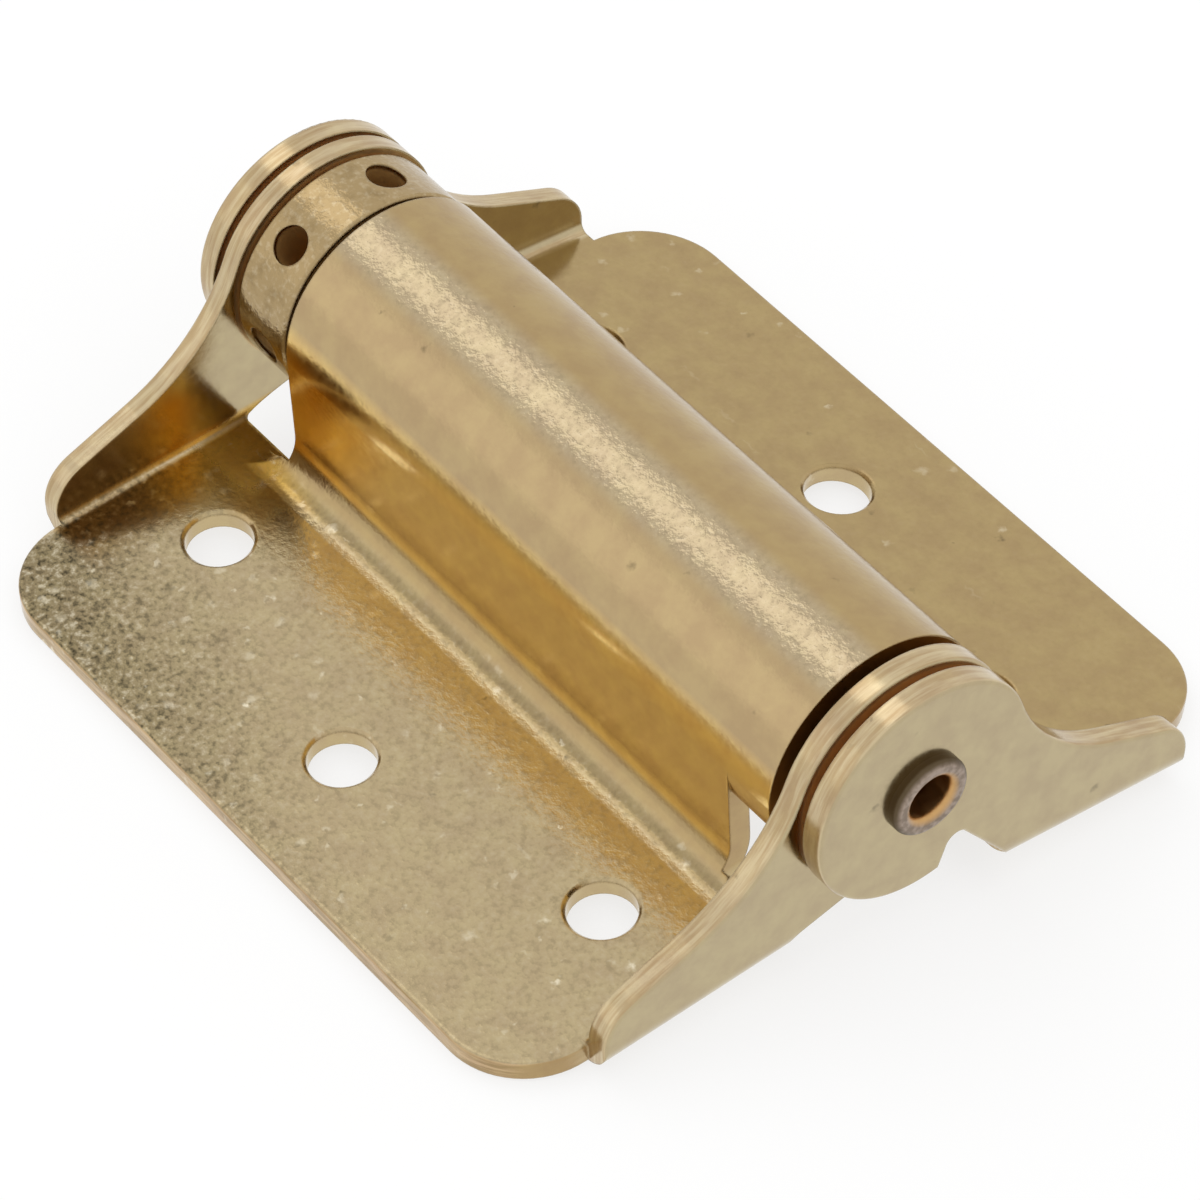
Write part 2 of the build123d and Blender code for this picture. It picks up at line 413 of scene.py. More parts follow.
@dataclass(frozen=True)
class PlatedSheet(Plating):
    """Satin brass plating on cold-rolled sheet steel.

    The plating is thin, so it shows the sheet's grain: fine mottling that shimmers where a
    lamp is mirrored beside it, greyer, coarser and darker towards the far outer corner. Painted
    glints, small light spots, stand out from the grain, and a few short scratches and dark pits
    cross it. The sheltered wall under the barrel is painted a brighter gold, a painted reflection
    of the golden light thrown to and fro in the hollow. Painted reflections also lie in the far
    corner, beside the far relief and in the gaps between the ears. There is a painted sheen and
    a painted highlight on the barrel's front and crown, and painted shade along the bend and on
    the far corner's outer foot. The cut edges are tan, with the light streaks of the punch.

    Attributes:
        tilt: How far the leaf is turned about the pin, in degrees.
        tone: Colour of the plate.
        darker_tone: Colour of the plate towards its far outer corner, where it is darker.
        darkening: How much of that colour the far corner takes.
        grain_share: How much the dark grain shows.
        marks: The painted glints, scratches and pits.
        barrel_side: Whether this leaf has the barrel.
        ear_start: Where the ears begin, from the middle, in millimetres.
        grain_height: Height of the grain, in millimetres.
        ear_tone: Colour of the ears' faces.
        barrel_tone: Colour of the rolled cover.
        belly_sheen_tone: Colour of the rolled cover's front, lighter: a painted sheen.
        wall_bounce_tone: Colour of the sheltered wall under the barrel: a brighter gold, a painted
            reflection of the golden light in the hollow.
        rim_tone: Colour of the plate's cut edges.
        rim_streak_tone: Colour of the light streaks along them.
        end_tone: Colour of the edges that face along the pin.
        hole_tone: Colour of the plating in the screw holes.
        edge_tone: Colour of the ears' cut edges.
        streak_tone: Colour of the light streaks that the punch left along them.
        bend_shade_tone: Colour where the plate begins to bend up into the wall: painted shade along
            that crease.
        crown_highlight_tone: Colour of the barrel's crown, lighter and greyer: a painted highlight
            where the lamp's strip of light lies.
        corner_bounce_tone: Colour of the golden corner beside the far ear: a painted reflection of
            the gold light thrown between ear, plate and wall.
        relief_bounce_tone: Colour of the deep gold beside the far relief: a painted reflection that
            lightens the shaded hollow there.
        foot_shade_tone: Colour of the outer foot of that corner, browner and darker: painted shade.
        gap_bounce_tone: Colour in the gaps between the ears: a brighter gold, a painted reflection
            of the light bouncing in them.
        grain: Size of the grain, in millimetres.
        patch: Size of the patches in which the tone changes, in millimetres.
        drift: Size of the drift in the worn corner's border, in millimetres.
        roughness: The satin plating's roughness.
    """

    tilt: float
    tone: str
    darker_tone: str
    darkening: float
    grain_share: float
    marks: Marks
    barrel_side: bool
    ear_start: float
    grain_height: float
    ear_tone: str = "#B7A784"
    barrel_tone: str = "#AF976C"
    # Painted sheen: the cover's front is lighter.
    belly_sheen_tone: str = "#B8A077"
    # Painted reflection: the wall's brighter gold stands in for the golden light in the hollow.
    wall_bounce_tone: str = "#EAC679"
    rim_tone: str = "#A48B62"
    rim_streak_tone: str = "#C6AA82"
    end_tone: str = "#AE9468"
    hole_tone: str = "#BCA77E"
    edge_tone: str = "#B49C76"
    streak_tone: str = "#C8B591"
    # Painted shade along the crease where the plate bends up.
    bend_shade_tone: str = "#9C8862"
    # Painted highlight: lighter, greyer colour on the crown under the lamp's strip of light.
    crown_highlight_tone: str = "#B5A383"
    # Painted reflection: golden corner beside the far ear.
    corner_bounce_tone: str = "#BE9A4E"
    # Painted reflection: deep gold beside the far relief that lightens the shaded hollow.
    relief_bounce_tone: str = "#D2AA54"
    # Painted shade: browner, darker outer foot of the far corner.
    foot_shade_tone: str = "#8A7048"
    # Painted reflection: brighter gold in the gaps between the ears.
    gap_bounce_tone: str = "#D6A664"
    grain: float = 0.5
    patch: float = 2.2
    drift: float = 7.0
    roughness: float = 0.17

    def build(self) -> Material:
        """Builds the material."""
        material, tree, shader = self.start()
        spot = self.place(tree, tilt=self.tilt)
        region = self.regions(tree, spot)
        grain = add_node(tree, "ShaderNodeTexNoise", {
            "Vector": spot, "Scale": 1 / self.grain, "Detail": 2.5, "Roughness": 0.6})
        colour = self.tones(tree, spot, region)
        colour = self.grained(tree, spot, grain, region, colour)
        rough = add_node(tree, "ShaderNodeMapRange", {
            "Value": grain, "From Min": 0.3, "From Max": 0.7, "To Min": self.roughness - 0.03,
            "To Max": self.roughness + 0.05})
        rougher = {"gap": 0.6, "relief": 0.15 if self.barrel_side else 0.0}
        rise = {"crown": 1.1, "ear": -0.45, "corner": -0.45, "wall": -0.4}
        height = add_node(tree, "ShaderNodeMath", {
            0: self.weighed(tree, region, rise, 0.6), 1: grain}, operation="MULTIPLY")
        plug(tree, shader, {
            "Base Color": self.marks.add(tree, spot, region, colour),
            "Roughness": self.weighed(tree, region, rougher, rough), "Metallic": 1.0,
            "Normal": self.relief(tree, height, self.grain_height)})
        return material

    def weighed(self, tree: NodeTree, region: Regions, weights: Mapping[str, float],
                base: Node | float) -> Node:
        """Adds to a value what each region brings.

        Args:
            tree: The material's tree.
            region: The regions' shares.
            weights: What each region brings, by name.
            base: The value without them.

        Returns:
            The whole value.
        """
        for name, weight in weights.items():
            base = add_node(tree, "ShaderNodeMath", {0: region[name], 1: weight, 2: base},
                            operation="MULTIPLY_ADD")
        return base

    def measures(self, tree: NodeTree, spot: Node) -> dict[Measure, Node | NodeSocket]:
        """Measures the place and the way that the surface faces.

        Args:
            tree: The material's tree.
            spot: The place in the leaf's frame.

        Returns:
            Each measure.
        """
        axes = add_node(tree, "ShaderNodeSeparateXYZ", {0: spot})
        along, across, height = (axes.outputs[i] for i in range(3))
        own = add_node(tree, "ShaderNodeTexCoord")
        facing = add_node(tree, "ShaderNodeSeparateXYZ", {0: own.outputs["Normal"]})
        along_size, across_size, upright, sideways = (
            add_node(tree, "ShaderNodeMath", {0: value}, operation="ABSOLUTE")
            for value in (along, across, facing.outputs["Z"], facing.outputs["X"]))
        bend_place = 10.6
        from_bend = add_node(tree, "ShaderNodeMath", {0: across_size, 1: bend_place},
                             operation="SUBTRACT")
        drift = add_node(tree, "ShaderNodeTexNoise", {
            "Vector": spot, "Scale": 1 / self.drift, "Detail": 2.0})
        slant = 0.0
        for value, weight in ((along, -0.35), (across_size, 0.95), (drift, self.drift)):
            slant = add_node(tree, "ShaderNodeMath", {0: value, 1: weight, 2: slant},
                             operation="MULTIPLY_ADD")
        return {
            Measure.ALONG: along, Measure.ACROSS: across, Measure.HEIGHT: height,
            Measure.ALONG_SIZE: along_size, Measure.ACROSS_SIZE: across_size,
            Measure.INLAND: add_node(tree, "ShaderNodeMath", {0: along_size, 1: across_size},
                                     operation="MAXIMUM"),
            Measure.FROM_PIN: self.from_pin(tree, spot),
            Measure.FROM_BEND: add_node(tree, "ShaderNodeMath", {0: from_bend},
                                        operation="ABSOLUTE"),
            Measure.SLANT: slant, Measure.UPRIGHT: upright, Measure.SIDEWAYS: sideways}

    def ramps(self) -> dict[Measure, dict[str, tuple[float, float]]]:
        """Says, by measure, where each simple region begins and where it is whole."""
        top = SIZES.sheet - SIZES.pin_height
        barrel = SIZES.barrel_radius
        ear = self.ear_start
        return {
            Measure.HEIGHT: {
                "plate": (top + 0.9, top + 0.1), "over_bend": (top + 1.5, top + 2.1),
                "foot": (-4.0, -6.0), "rolled": (-1.0, 1.0), "low": (3.4, 1.8),
                "top": (barrel - 1.2, barrel - 0.6)},
            Measure.ACROSS: {
                "sheltered": (-2.0, -5.0), "front_side": (-1.5, -4.0), "front": (1.2, -0.4)},
            Measure.ALONG: {
                "far": (-24.5, -28.5), "far_end": (-22.5, -26.0), "far_wall": (-18.0, -24.0),
                "inside": (-32.3, -31.3)},
            Measure.ALONG_SIZE: {
                "ear": (ear, ear + 0.5), "grain_end": (ear + 2.1, ear + 1.8),
                "in_ears": (34.4, 34.0)},
            Measure.ACROSS_SIZE: {
                "foot_end": (26.5, 25.0), "foot_tip": (14.5, 19.5), "by_head": (15.0, 12.5),
                "by_wall": (16.5, 13.5), "by_relief": (14.5, 12.8)},
            Measure.INLAND: {"inland": (28.5, 27.5)},
            Measure.FROM_PIN: {"in_barrel": (barrel, barrel - 0.5)},
            Measure.FROM_BEND: {"bend_line": (0.8, 0.3)},
            Measure.SLANT: {"darker": (27.5, 40.5)},
            Measure.UPRIGHT: {"steep": (0.75, 0.45)},
            Measure.SIDEWAYS: {"end_on": (0.6, 0.85), "edge_on": (0.8, 0.5)}}

    def regions(self, tree: NodeTree, spot: Node) -> Regions:
        """Tells the leaf's regions apart by their place and the way that they face.

        Args:
            tree: The material's tree.
            spot: The place in the leaf's frame.

        Returns:
            A share from 0 to 1 for each region, by name.
        """
        region = {"whole": 1.0}
        most = {"darker": self.darkening, "far_wall": 0.8}
        values = self.measures(tree, spot)
        for measure, ramps in self.ramps().items():
            for name, (start, end) in ramps.items():
                region[name] = add_node(tree, "ShaderNodeMapRange", {
                    "Value": values[measure], "From Min": start, "From Max": end,
                    "To Max": most.get(name, 1.0)},
                    interpolation_type="LINEAR" if name in SHARP_REGIONS else "SMOOTHSTEP")
        for name, join, (first, *others) in JOINED:
            share = region[first]
            for other in others:
                share = add_node(tree, "ShaderNodeMath", {0: share, 1: region[other]},
                                 operation=join.value)
            region[name] = share
        return region

    def streaked(self, tree: NodeTree, spot: Node, lengths: tuple[float, float, float], tone: str,
                 light_tone: str) -> Node:
        """Colours a cut edge with the light streaks that the punch left along it.

        Args:
            tree: The material's tree.
            spot: The place in the leaf's frame.
            lengths: The streaks' size along each axis, in millimetres.
            tone: Colour of the edge.
            light_tone: Colour of the streaks.

        Returns:
            The edge's colour.
        """
        streaks = add_node(tree, "ShaderNodeMapping", {
            "Vector": spot, "Scale": tuple(1 / length for length in lengths)})
        streaks = add_node(tree, "ShaderNodeTexNoise", {
            "Vector": streaks, "Scale": 1.0, "Detail": 3.0, "Roughness": 0.6})
        streaks = add_node(tree, "ShaderNodeMapRange", {
            "Value": streaks, "From Min": 0.4, "From Max": 0.62})
        return layered(tree, tone, ((streaks, light_tone),))

    def tones(self, tree: NodeTree, spot: Node, region: Regions) -> Node:
        """Colours the regions, one over the other.

        Args:
            tree: The material's tree.
            spot: The place in the leaf's frame.
            region: The regions' shares.

        Returns:
            The plain colour, before grain and marks.
        """
        thin, long = 0.35, 5.0
        rim = self.streaked(tree, spot, (long, long, thin), self.rim_tone, self.rim_streak_tone)
        cut = self.streaked(tree, spot, (thin, long, long), self.edge_tone, self.streak_tone)
        # The corner is a painted reflection, and its outer foot takes painted shade.
        corner = layered(tree, self.corner_bounce_tone, ((region["foot_tip"], self.foot_shade_tone),))
        # Painted light among these layers: brighter gold on the wall, the corner, beside the relief
        # and in the gaps as painted reflections, a painted sheen on the belly, a painted highlight
        # on the crown, and painted shade along the bend.
        layers = {
            "belly": self.belly_sheen_tone, "plate": self.tone, "darker_plate": self.darker_tone,
            "wall": self.wall_bounce_tone, "bend": self.bend_shade_tone, "crown": self.crown_highlight_tone,
            "ear": self.ear_tone, "corner": corner, "relief": self.relief_bounce_tone, "rim": rim,
            "cut": cut, "gap": self.gap_bounce_tone, "end": self.end_tone, "hole": self.hole_tone}
        return layered(tree, self.barrel_tone, (
            (region[name], tone) for name, tone in layers.items()
            if self.barrel_side or name not in BARREL_REGIONS))

    def grained(self, tree: NodeTree, spot: Node, grain: Node, region: Regions,
                colour: Node) -> Node:
        """Adds the sheet's grain and slow changes of tone.

        Args:
            tree: The material's tree.
            spot: The place in the leaf's frame.
            grain: The fine grain.
            region: The regions' shares.
            colour: The plain colour.

        Returns:
            The colour with its grain.
        """
        patches = add_node(tree, "ShaderNodeTexNoise", {
            "Vector": spot, "Scale": 1 / self.patch, "Detail": 3.0, "Roughness": 0.6})
        hue, value = (
            add_node(tree, "ShaderNodeMapRange", {
                "Value": patches, "From Min": 0.35, "From Max": 0.65, "To Min": middle - change,
                "To Max": middle + change})
            for middle, change in ((0.5, 0.0035), (1.0, 0.05)))
        colour = add_node(tree, "ShaderNodeHueSaturation", {
            "Color": colour, "Hue": hue, "Value": value})
        show = self.weighed(tree, region, {"darker": 0.75}, 0.22)
        show = add_node(tree, "ShaderNodeMath", {0: region["grainy"], 1: show},
                        operation="MULTIPLY")
        # More of both grains on the crown: painted mottling that breaks up the lamp's highlight
        # there, over the sheet's grain.
        show = self.weighed(tree, region, {"crown": 0.2}, show)
        show = add_node(tree, "ShaderNodeMath", {0: show, 1: self.grain_share},
                        operation="MULTIPLY")
        # The first layer is the sheet's dark grain; the second lightens grains into painted glints.
        for start, end, most, tone in ((0.50, 0.68, 1.0, DARK_GRAIN),
                                       (0.46, 0.28, 0.45, GLINT_AND_SCRATCH_TONE)):
            share = add_node(tree, "ShaderNodeMapRange", {
                "Value": grain, "From Min": start, "From Max": end, "To Max": most})
            share = add_node(tree, "ShaderNodeMath", {0: share, 1: show}, operation="MULTIPLY")
            colour = layered(tree, colour, ((share, tone),))
        return colour


@dataclass(frozen=True)
class PlatedTurning(Plating):
    """Satin brass plating on a turned steel ring, with faint turning lines round it.

    Brown stains lie on it; its grain breaks the lamp's highlight into small glints, and its lighter
    grains are painted glints.

    Attributes:
        tone: Colour of the plating.
        stain_tone: Colour of the stains.
        hole_tone: Colour of the thick plating in the holes and on the ends.
        outside: Radius of the ring, in millimetres.
        stain: Size of the stains, in millimetres.
        line_pitch: Distance between turning lines, in millimetres.
        grain: Size of the grain, in millimetres.
        grain_height: Height of the grain, in millimetres.
        roughness: The plating's roughness.
        hole_roughness: Roughness of the plating in the holes.
    """

    tone: str = "#A9926A"
    stain_tone: str = "#86704C"
    hole_tone: str = "#BC975E"
    outside: float = 8.7
    stain: float = 1.3
    line_pitch: float = 0.35
    grain: float = 0.45
    grain_height: float = 0.04
    roughness: float = 0.16
    hole_roughness: float = 0.7

    def build(self) -> Material:
        """Builds the material."""
        material, tree, shader = self.start()
        spot = self.place(tree)
        inside = add_node(tree, "ShaderNodeMapRange", {
            "Value": self.from_pin(tree, spot), "From Min": self.outside - 0.25,
            "From Max": self.outside - 0.5})
        stains = add_node(tree, "ShaderNodeTexNoise", {
            "Vector": spot, "Scale": 1 / self.stain, "Detail": 4.0, "Roughness": 0.6})
        stained = add_node(tree, "ShaderNodeMapRange", {
            "Value": stains, "From Min": 0.52, "From Max": 0.72, "To Max": 0.55})
        grain = add_node(tree, "ShaderNodeTexNoise", {
            "Vector": spot, "Scale": 1 / self.grain, "Detail": 2.5, "Roughness": 0.6})
        # Painted glints: the lighter grains take the glint colour.
        bright = add_node(tree, "ShaderNodeMapRange", {
            "Value": grain, "From Min": 0.5, "From Max": 0.75, "To Max": 0.18})
        colour = layered(tree, self.tone, (
            (stained, self.stain_tone), (bright, GLINT_AND_SCRATCH_TONE), (inside, self.hole_tone)))
        axes = add_node(tree, "ShaderNodeSeparateXYZ", {0: spot})
        lines = add_node(tree, "ShaderNodeTexNoise", {
            "Vector": axes, "Scale": 1 / self.line_pitch, "Detail": 2.0})
        height = add_node(tree, "ShaderNodeMath", {0: lines, 1: 0.3, 2: grain},
                          operation="MULTIPLY_ADD")
        rough = add_node(tree, "ShaderNodeMapRange", {
            "Value": inside, "To Min": self.roughness, "To Max": self.hole_roughness})
        plug(tree, shader, {
            "Base Color": colour, "Roughness": rough, "Metallic": 1.0,
            "Normal": self.relief(tree, height, self.grain_height)})
        return material


@dataclass(frozen=True)
class BrownedRivet(Finish):
    """Bare steel rivet that has browned: dull dark rim, and rust-brown inside its bore.

    Attributes:
        rim_tone: Colour of the rolled rim.
        side_tone: Colour of the rim's side.
        bore_tone: Colour inside the bore.
        mottle: Size of the mottling, in millimetres.
        mottle_height: Its height, in millimetres.
        roughness: The browned steel's roughness.
    """

    rim_tone: str = "#A39284"
    side_tone: str = "#5E503C"
    bore_tone: str = "#C9A06A"
    mottle: float = 0.5
    mottle_height: float = 0.03
    roughness: float = 0.36

    def build(self) -> Material:
        """Builds the material."""
        material, tree, shader = self.start()
        spot = self.place(tree)
        radius = self.from_pin(tree, spot)
        mottle = add_node(tree, "ShaderNodeTexNoise", {
            "Vector": spot, "Scale": 1 / self.mottle, "Detail": 3.0})
        colour = self.rim_tone
        for measure, start, end, most, tone in (
                (mottle, 0.4, 0.6, 0.45, self.side_tone), (radius, 2.75, 3.05, 1.0, self.side_tone),
                (radius, 2.3, 1.9, 1.0, self.bore_tone)):
            share = add_node(tree, "ShaderNodeMapRange", {
                "Value": measure, "From Min": start, "From Max": end, "To Max": most})
            colour = layered(tree, colour, ((share, tone),))
        rough = add_node(tree, "ShaderNodeMapRange", {
            "Value": mottle, "From Min": 0.3, "From Max": 0.7, "To Min": self.roughness - 0.08,
            "To Max": self.roughness + 0.08})
        relief = add_node(tree, "ShaderNodeBump", {
            "Strength": 0.3, "Distance": self.mottle_height * MM, "Height": mottle})
        plug(tree, shader, {
            "Base Color": colour, "Roughness": rough, "Metallic": 1.0, "Normal": relief})
        return material


@dataclass(frozen=True)
class DrawnWire(Finish):
    """Hard-drawn spring wire: grey steel with fine draw marks and a film of oil.

    Attributes:
        tone: Colour of the steel.
        oil_tone: Colour where oil has browned.
        film: Size of the oil's patches, in millimetres.
        draw_mark: Size of the draw marks, in millimetres.
        mark_height: Their height, in millimetres.
        roughness: The wire's roughness.
    """

    tone: str = "#8E8A82"
    oil_tone: str = "#5B4B36"
    film: float = 3.0
    draw_mark: float = 0.2
    mark_height: float = 0.01
    roughness: float = 0.3

    def build(self) -> Material:
        """Builds the material."""
        material, tree, shader = self.start()
        spot = self.place(tree, height=0.0)
        film = add_node(tree, "ShaderNodeTexNoise", {
            "Vector": spot, "Scale": 1 / self.film, "Detail": 3.0})
        colour = layered(tree, self.tone, ((film, self.oil_tone),))
        marks = add_node(tree, "ShaderNodeTexNoise", {
            "Vector": spot, "Scale": 1 / self.draw_mark, "Detail": 2.0})
        relief = add_node(tree, "ShaderNodeBump", {
            "Strength": 0.2, "Distance": self.mark_height * MM, "Height": marks})
        plug(tree, shader, {
            "Base Color": colour, "Roughness": self.roughness, "Metallic": 1.0,
            "Normal": relief})
        return material


@dataclass(frozen=True)
class StudioFloor(Finish):
    """Plain white paper that keeps a soft shadow.

    Attributes:
        tone: Colour of the paper.
        glow: Share of its look that is plain white to the camera.
        roughness: The paper's roughness.
    """

    tone: str = "#FFFFFF"
    glow: float = 0.75
    roughness: float = 0.9

    def build(self) -> Material:
        """Builds the material."""
        material, tree, shader = self.start()
        plug(tree, shader, {
            "Base Color": self.tone, "Roughness": self.roughness, "Specular IOR Level": 0.0})
        path = add_node(tree, "ShaderNodeLightPath")
        white = add_node(tree, "ShaderNodeEmission", {"Color": self.tone, "Strength": 1.0})
        seen = add_node(tree, "ShaderNodeMath", {
            0: path.outputs["Is Camera Ray"], 1: self.glow}, operation="MULTIPLY")
        mirrored = add_node(tree, "ShaderNodeMath", {
            0: path.outputs["Is Glossy Ray"], 1: path.outputs["Is Transmission Ray"]},
            operation="MAXIMUM")
        share = add_node(tree, "ShaderNodeMath", {0: seen, 1: mirrored}, operation="MAXIMUM")
        mix = add_node(tree, "ShaderNodeMixShader", {
            0: share, 1: shader.outputs["BSDF"], 2: white})
        plug(tree, tree.nodes["Material Output"], {"Surface": mix})
        return material


def dress(node: str, material: Material) -> Object:
    """Gives a CAD node its finish.

    Args:
        node: The node's name.
        material: Its finish.

    Returns:
        The node's object.
    """
    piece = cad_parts[node]
    piece.data.materials.clear()
    piece.data.materials.append(material)
    return piece


@dataclass
class Leaves:
    """The two folded leaves.

    Attributes:
        barrel_finish: Finish of the leaf with the barrel.
        plain_finish: Finish of the other leaf.
    """

    barrel_finish: PlatedSheet = PlatedSheet(
        "satin_brass_plate_barrel_leaf", tilt=SIZES.tilt, tone="#B5A37F", darker_tone="#8E7F60",
        darkening=1.0, grain_share=0.95, marks=Marks(glint_share=0.26, strength=0.72),
        barrel_side=True, ear_start=30.2, grain_height=0.035)
    plain_finish: PlatedSheet = PlatedSheet(
        "satin_brass_plate_plain_leaf", tilt=-SIZES.tilt, tone="#AC956A", darker_tone="#AC956A",
        darkening=0.0, grain_share=0.2, marks=Marks(glint_share=0.08, strength=0.35),
        barrel_side=False, ear_start=32.0, grain_height=0.012)

    def build(self) -> list[Object]:
        """Dresses both leaves."""
        return [dress("barrel_leaf", self.barrel_finish.build()),
                dress("plain_leaf", self.plain_finish.build())]


@dataclass
class PinAndCollar:
    """The hollow rivet and the loose collar on it.

    Attributes:
        rivet_finish: Finish of the rivet.
        collar_finish: Finish of the collar.
    """

    rivet_finish: BrownedRivet = BrownedRivet("browned_rivet_steel")
    collar_finish: PlatedTurning = PlatedTurning("satin_brass_plate_turned_ring")

    def build(self) -> list[Object]:
        """Dresses the rivet and the collar."""
        return [dress("rivet_pin", self.rivet_finish.build()),
                dress("adjusting_collar", self.collar_finish.build())]


@dataclass
class CoilSpring:
    """The torsion spring on the rivet, wound by a Geometry Nodes tree.

    The tree winds the wire about its own Z axis, with the far end's tang at angle 0, and
    then lays it along the pin.

    Attributes:
        coil_radius: To the middle of the wire.
        wire_radius: Half the wire's thickness.
        start: The first coil's place along the pin.
        end: The last coil's place along the pin.
        tang_angle: Place of the far end about the pin, in degrees over +Y.
        leg_angle: Place of the near end about the pin, in degrees over +Y.
        whole_turns: Number of whole turns from the tang to the leg.
        tang_length: How far the far end runs into the collar.
        leg_length: How far the near end stands out past the coil.
        bend: Share of a turn in which each end bends out of the coil, in degrees.
        steps: Points in each turn.
        bend_steps: Points in each end's bend.
        ring: Points round the wire.
        weld: Points closer than this become one.
        finish: Finish of the wire.
    """

    coil_radius: float = 5.6
    wire_radius: float = 0.9
    start: float = -23.825
    end: float = 28.235
    tang_angle: float = 99.0
    leg_angle: float = 226.0
    whole_turns: int = 15
    tang_length: float = 3.9
    leg_length: float = 3.2
    bend: float = 10.0
    steps: int = 48
    bend_steps: int = 8
    ring: int = 18
    weld: float = 0.02
    finish: DrawnWire = DrawnWire("hard_drawn_spring_wire")

    def point(self, angle: float, radius: float, along: float) -> Vector:
        """Gives a point in the winding frame.

        Args:
            angle: Angle from the tang, in degrees.
            radius: Distance from the axis, in millimetres.
            along: Distance along the axis from the first coil, in millimetres.

        Returns:
            The point, in metres.
        """
        turn = math.radians(angle)
        return Vector((radius * math.cos(turn), radius * math.sin(turn), along)) * MM

    def sizes(self) -> dict[str, object]:
        """Works out the tree's named inputs."""
        swept = 360 * self.whole_turns + self.leg_angle - self.tang_angle
        height = self.end - self.start
        radius = self.coil_radius
        out = radius * math.tan(math.radians(self.bend))
        points = {
            "Tang tip": (0, radius, -self.tang_length), "Tang bend": (0, radius, -out),
            "Tang corner": (0, radius, 0), "Coil start": (self.bend, radius, 0),
            "Coil end": (swept - self.bend, radius, height),
            "Leg corner": (swept, radius, height), "Leg bend": (swept, radius + out, height),
            "Leg tip": (swept, radius + self.leg_length, height)}
        return {
            "Coil radius": radius * MM, "Wire radius": self.wire_radius * MM,
            "Height": height * MM, "Turns": (swept - 2 * self.bend) / 360,
            "Bend angle": math.radians(self.bend),
            **{name: self.point(*place) for name, place in points.items()},
            "Tang angle": math.radians(self.tang_angle + SIZES.tilt),
            "Place": Vector((self.start, 0.0, SIZES.pin_z)) * MM, "Weld": self.weld * MM,
            "Steps in a turn": self.steps, "Steps in a bend": self.bend_steps,
            "Points round": self.ring}

    def centre_line(self, tree: NodeTree, size: bpy_prop_collection) -> Node:
        """Winds the wire's centre line: tang, bend, coil, bend and leg as one curve.

        Args:
            tree: The winding tree.
            size: Its named inputs.

        Returns:
            The curve.
        """
        tang = add_node(tree, "GeometryNodeCurvePrimitiveLine", {
            "Start": size["Tang tip"], "End": size["Tang bend"]})
        tang_bend, leg_bend = (
            add_node(tree, "GeometryNodeCurveQuadraticBezier", {
                "Resolution": size["Steps in a bend"], "Start": size[first],
                "Middle": size[corner], "End": size[last]})
            for first, corner, last in (("Tang bend", "Tang corner", "Coil start"),
                                        ("Coil end", "Leg corner", "Leg bend")))
        coil = add_node(tree, "GeometryNodeCurveSpiral", {
            "Resolution": size["Steps in a turn"], "Rotations": size["Turns"],
            "Start Radius": size["Coil radius"], "End Radius": size["Coil radius"],
            "Height": size["Height"], "Reverse": True})
        first = add_node(tree, "ShaderNodeCombineXYZ", {2: size["Bend angle"]})
        coil = add_node(tree, "GeometryNodeTransform", {"Geometry": coil, "Rotation": first})
        leg = add_node(tree, "GeometryNodeCurvePrimitiveLine", {
            "Start": size["Leg bend"], "End": size["Leg tip"]})
        parts = add_node(tree, "GeometryNodeJoinGeometry")
        for part in (tang, tang_bend, coil, leg_bend, leg):
            plug(tree, parts, {0: part})
        points = add_node(tree, "GeometryNodeCurveToPoints", {"Curve": parts}, mode="EVALUATED")
        points = add_node(tree, "GeometryNodeMergeByDistance", {
            "Geometry": points, "Distance": size["Weld"]})
        # Along the wire either the height or the radius grows, so their sum puts it in order.
        place = add_node(tree, "GeometryNodeInputPosition")
        axes = add_node(tree, "ShaderNodeSeparateXYZ", {0: place})
        flat = add_node(tree, "ShaderNodeCombineXYZ", {0: axes.outputs["X"], 1: axes.outputs["Y"]})
        radius = add_node(tree, "ShaderNodeVectorMath", {0: flat}, operation="LENGTH")
        order = add_node(tree, "ShaderNodeMath", {
            0: axes.outputs["Z"], 1: radius.outputs["Value"]}, operation="ADD")
        return add_node(tree, "GeometryNodePointsToCurves", {"Points": points, "Weight": order})

    def tree(self, material: Material) -> NodeTree:
        """Builds the tree that winds the spring.

        Args:
            material: The wire's finish.

        Returns:
            The tree, with a named input for each size.
        """
        tree = bpy.data.node_groups.new("wind_torsion_spring", "GeometryNodeTree")
        kinds = {float: "NodeSocketFloat", int: "NodeSocketInt", Vector: "NodeSocketVector"}
        tree.interface.new_socket("Spring", in_out="OUTPUT", socket_type="NodeSocketGeometry")
        for name, value in self.sizes().items():
            tree.interface.new_socket(name, in_out="INPUT", socket_type=kinds[type(value)])
        size = add_node(tree, "NodeGroupInput").outputs
        round_wire = add_node(tree, "GeometryNodeCurvePrimitiveCircle", {
            "Resolution": size["Points round"], "Radius": size["Wire radius"]})
        solid = add_node(tree, "GeometryNodeCurveToMesh", {
            "Curve": self.centre_line(tree, size), "Profile Curve": round_wire,
            "Fill Caps": True})
        turn = add_node(tree, "ShaderNodeCombineXYZ", {2: size["Tang angle"]})
        solid = add_node(tree, "GeometryNodeTransform", {"Geometry": solid, "Rotation": turn})
        solid = add_node(tree, "GeometryNodeTransform", {
            "Geometry": solid, "Translation": size["Place"],
            "Rotation": (math.pi / 2, 0.0, math.pi / 2)})
        solid = add_node(tree, "GeometryNodeSetShadeSmooth", {"Geometry": solid})
        solid = add_node(tree, "GeometryNodeRealizeInstances", {"Geometry": solid})
        solid = add_node(tree, "GeometryNodeSetMaterial", {"Geometry": solid, "Material": material})
        add_node(tree, "NodeGroupOutput", {0: solid}, is_active_output=True)
        return tree

